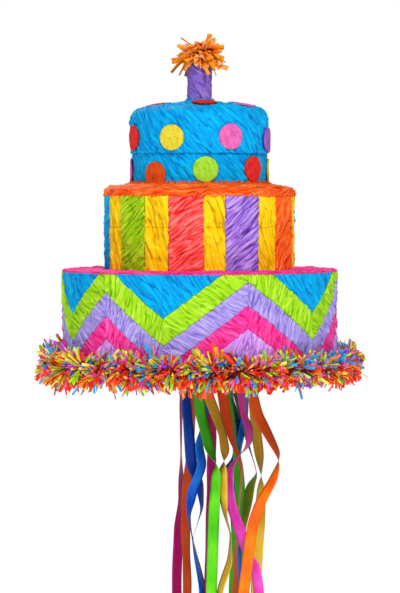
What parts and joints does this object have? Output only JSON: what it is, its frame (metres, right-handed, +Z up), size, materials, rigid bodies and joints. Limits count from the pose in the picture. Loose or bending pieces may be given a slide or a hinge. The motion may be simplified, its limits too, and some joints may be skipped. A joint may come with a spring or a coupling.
{
  "type": "pull-string pinata",
  "caption": "Hanging birthday-cake pinata: tissue-covered card tiers, candle, fringe garland, fill flap and a trapdoor opened by a satin ribbon.",
  "frame": {"origin": "on the cake's centre line at the underside of the base panel, midway between flame tip and ribbon ends", "axes": "+Z up, towards the candle and the hanging eye; -Y is the front, +X the right side seen from the front"},
  "size_m": [0.363, 0.363, 0.726],
  "materials": {
    "card": "matt brown corrugated card",
    "tissue_blue": "crinkled tissue paper",
    "tissue_lime": "crinkled tissue paper",
    "tissue_lilac": "crinkled tissue paper",
    "tissue_pink": "crinkled tissue paper",
    "tissue_purple": "crinkled tissue paper",
    "tissue_yellow": "crinkled tissue paper",
    "tissue_red": "crinkled tissue paper",
    "tissue_green": "crinkled tissue paper",
    "tissue_orange": "crinkled tissue paper",
    "tissue_flame": "shredded tissue paper",
    "dot_red": "matt crepe paper",
    "dot_yellow": "matt crepe paper",
    "dot_pink": "matt crepe paper",
    "dot_purple": "matt crepe paper",
    "dot_orange": "matt crepe paper",
    "dot_lime": "matt crepe paper",
    "fringe": "curled tissue strips in mixed colours",
    "tape": "gummed paper tape",
    "wire": "bright wire",
    "eye": "satin moulded plastic",
    "satin_blue": "woven satin",
    "satin_green": "woven satin",
    "satin_olive": "woven satin",
    "satin_gold": "woven satin",
    "satin_orange": "woven satin",
    "satin_magenta": "woven satin",
    "satin_pink": "woven satin"
  },
  "bodies": {
    "shell": {"base_panel": "card", "bottom_tier_wall": "card", "bottom_tier_top": "card", "middle_tier_wall": "card", "middle_tier_top": "card", "top_tier_wall": "card", "top_tier_lid": "card", "candle_tube": "card", "eye_anchor_disc": "card", "hanging_eye": "eye", "candle_wrap": "tissue_purple", "flame_shreds": "tissue_flame", "bottom_ledge_tissue": "tissue_pink", "middle_ledge_tissue": "tissue_orange", "top_band_lower": "tissue_blue", "top_band_upper": "tissue_blue", "top_cover": "tissue_blue", "fringe_garland": "fringe", "ribbon_staples": "wire", "chevron_blue": "tissue_blue", "chevron_lime": "tissue_lime", "chevron_lilac": "tissue_lilac", "chevron_pink": "tissue_pink", "chevron_purple": "tissue_purple", "stripes_yellow": "tissue_yellow", "stripes_blue": "tissue_blue", "stripes_green": "tissue_green", "stripes_red": "tissue_red", "stripes_purple": "tissue_purple", "stripes_orange": "tissue_orange", "dots_red": "dot_red", "dots_yellow": "dot_yellow", "dots_pink": "dot_pink", "dots_purple": "dot_purple", "dots_orange": "dot_orange", "dots_lime": "dot_lime", "fill_flap_tape_fixed": "tape", "trapdoor_tape_fixed": "tape"},
    "trapdoor": {"trapdoor_panel": "card", "trapdoor_tape_moving": "tape", "trapdoor_seal_tab": "tape", "release_staple": "wire"},
    "fill_flap": {"fill_flap_panel": "card", "fill_flap_yellow": "tissue_yellow", "fill_flap_red": "tissue_red", "fill_flap_tape_moving": "tape", "fill_flap_pull_tab": "tape"},
    "release_ribbon": {"release_ribbon": "satin_orange"},
    "ribbon_blue_left": {"ribbon_blue_left": "satin_blue"},
    "ribbon_lime_centre": {"ribbon_lime_centre": "satin_green"},
    "ribbon_green_left": {"ribbon_green_left": "satin_green"},
    "ribbon_gold_centre": {"ribbon_gold_centre": "satin_gold"},
    "ribbon_orange_right": {"ribbon_orange_right": "satin_orange"},
    "ribbon_magenta_centre": {"ribbon_magenta_centre": "satin_magenta"},
    "ribbon_pink_right": {"ribbon_pink_right": "satin_pink"},
    "ribbon_orange_left": {"ribbon_orange_left": "satin_orange"},
    "ribbon_gold_right": {"ribbon_gold_right": "satin_gold"},
    "ribbon_magenta_left": {"ribbon_magenta_left": "satin_magenta"},
    "ribbon_blue_centre": {"ribbon_blue_centre": "satin_blue"},
    "ribbon_olive_right": {"ribbon_olive_right": "satin_olive"}
  },
  "joints": [
    {"name": "trapdoor_hinge", "type": "hinge", "parent": "shell", "child": "trapdoor", "pos_m": [0.024, 0.04, -0.0002], "axis": [1, 0, 0], "range_deg": [0, 90]},
    {"name": "release_ribbon_hang", "type": "hinge", "parent": "trapdoor", "child": "release_ribbon", "pos_m": [0.024, -0.032, -0.0013], "axis": [1, 0, 0], "range_deg": [-90, 0]},
    {"name": "fill_flap_hinge", "type": "hinge", "parent": "shell", "child": "fill_flap", "pos_m": [0.0574, 0.0884, 0.15], "axis": [0, 0, -1], "range_deg": [0, 110]},
    {"name": "ribbon_blue_left_swing", "type": "hinge", "parent": "shell", "child": "ribbon_blue_left", "pos_m": [-0.006, -0.054, -0.0013], "axis": [-1, 0, 0], "range_deg": [0, 35]},
    {"name": "ribbon_lime_centre_swing", "type": "hinge", "parent": "shell", "child": "ribbon_lime_centre", "pos_m": [0.037, 0.058, -0.0013], "axis": [1, 0, 0], "range_deg": [0, 35]},
    {"name": "ribbon_green_left_swing", "type": "hinge", "parent": "shell", "child": "ribbon_green_left", "pos_m": [0, -0.068, -0.0013], "axis": [-1, 0, 0], "range_deg": [0, 40.25]},
    {"name": "ribbon_gold_centre_swing", "type": "hinge", "parent": "shell", "child": "ribbon_gold_centre", "pos_m": [0.016, -0.068, -0.0013], "axis": [-1, 0, 0], "range_deg": [0, 40.25]},
    {"name": "ribbon_orange_right_swing", "type": "hinge", "parent": "shell", "child": "ribbon_orange_right", "pos_m": [0.055, -0.068, -0.0013], "axis": [-1, 0, 0], "range_deg": [0, 40.25]},
    {"name": "ribbon_magenta_centre_swing", "type": "hinge", "parent": "shell", "child": "ribbon_magenta_centre", "pos_m": [0.011, -0.054, -0.0013], "axis": [-1, 0, 0], "range_deg": [0, 35]},
    {"name": "ribbon_pink_right_swing", "type": "hinge", "parent": "shell", "child": "ribbon_pink_right", "pos_m": [0.047, -0.054, -0.0013], "axis": [-1, 0, 0], "range_deg": [0, 35]},
    {"name": "ribbon_orange_left_swing", "type": "hinge", "parent": "shell", "child": "ribbon_orange_left", "pos_m": [-0.009, 0.058, -0.0013], "axis": [1, 0, 0], "range_deg": [0, 35]},
    {"name": "ribbon_gold_right_swing", "type": "hinge", "parent": "shell", "child": "ribbon_gold_right", "pos_m": [0.061, 0.058, -0.0013], "axis": [1, 0, 0], "range_deg": [0, 35]},
    {"name": "ribbon_magenta_left_swing", "type": "hinge", "parent": "shell", "child": "ribbon_magenta_left", "pos_m": [-0.021, 0.072, -0.0013], "axis": [1, 0, 0], "range_deg": [0, 40.25]},
    {"name": "ribbon_blue_centre_swing", "type": "hinge", "parent": "shell", "child": "ribbon_blue_centre", "pos_m": [0.04, 0.072, -0.0013], "axis": [1, 0, 0], "range_deg": [0, 40.25]},
    {"name": "ribbon_olive_right_swing", "type": "hinge", "parent": "shell", "child": "ribbon_olive_right", "pos_m": [0.059, 0.072, -0.0013], "axis": [1, 0, 0], "range_deg": [0, 40.25]}
  ],
  "couplings": [
    {"joint": "release_ribbon_hang", "follows": "trapdoor_hinge", "ratio": -1},
    {"joint": "ribbon_green_left_swing", "follows": "ribbon_blue_left_swing", "ratio": 1.15},
    {"joint": "ribbon_gold_centre_swing", "follows": "ribbon_blue_left_swing", "ratio": 1.15},
    {"joint": "ribbon_orange_right_swing", "follows": "ribbon_blue_left_swing", "ratio": 1.15},
    {"joint": "ribbon_magenta_centre_swing", "follows": "ribbon_blue_left_swing", "ratio": 1},
    {"joint": "ribbon_pink_right_swing", "follows": "ribbon_blue_left_swing", "ratio": 1},
    {"joint": "ribbon_orange_left_swing", "follows": "ribbon_lime_centre_swing", "ratio": 1},
    {"joint": "ribbon_gold_right_swing", "follows": "ribbon_lime_centre_swing", "ratio": 1},
    {"joint": "ribbon_magenta_left_swing", "follows": "ribbon_lime_centre_swing", "ratio": 1.15},
    {"joint": "ribbon_blue_centre_swing", "follows": "ribbon_lime_centre_swing", "ratio": 1.15},
    {"joint": "ribbon_olive_right_swing", "follows": "ribbon_lime_centre_swing", "ratio": 1.15}
  ]
}
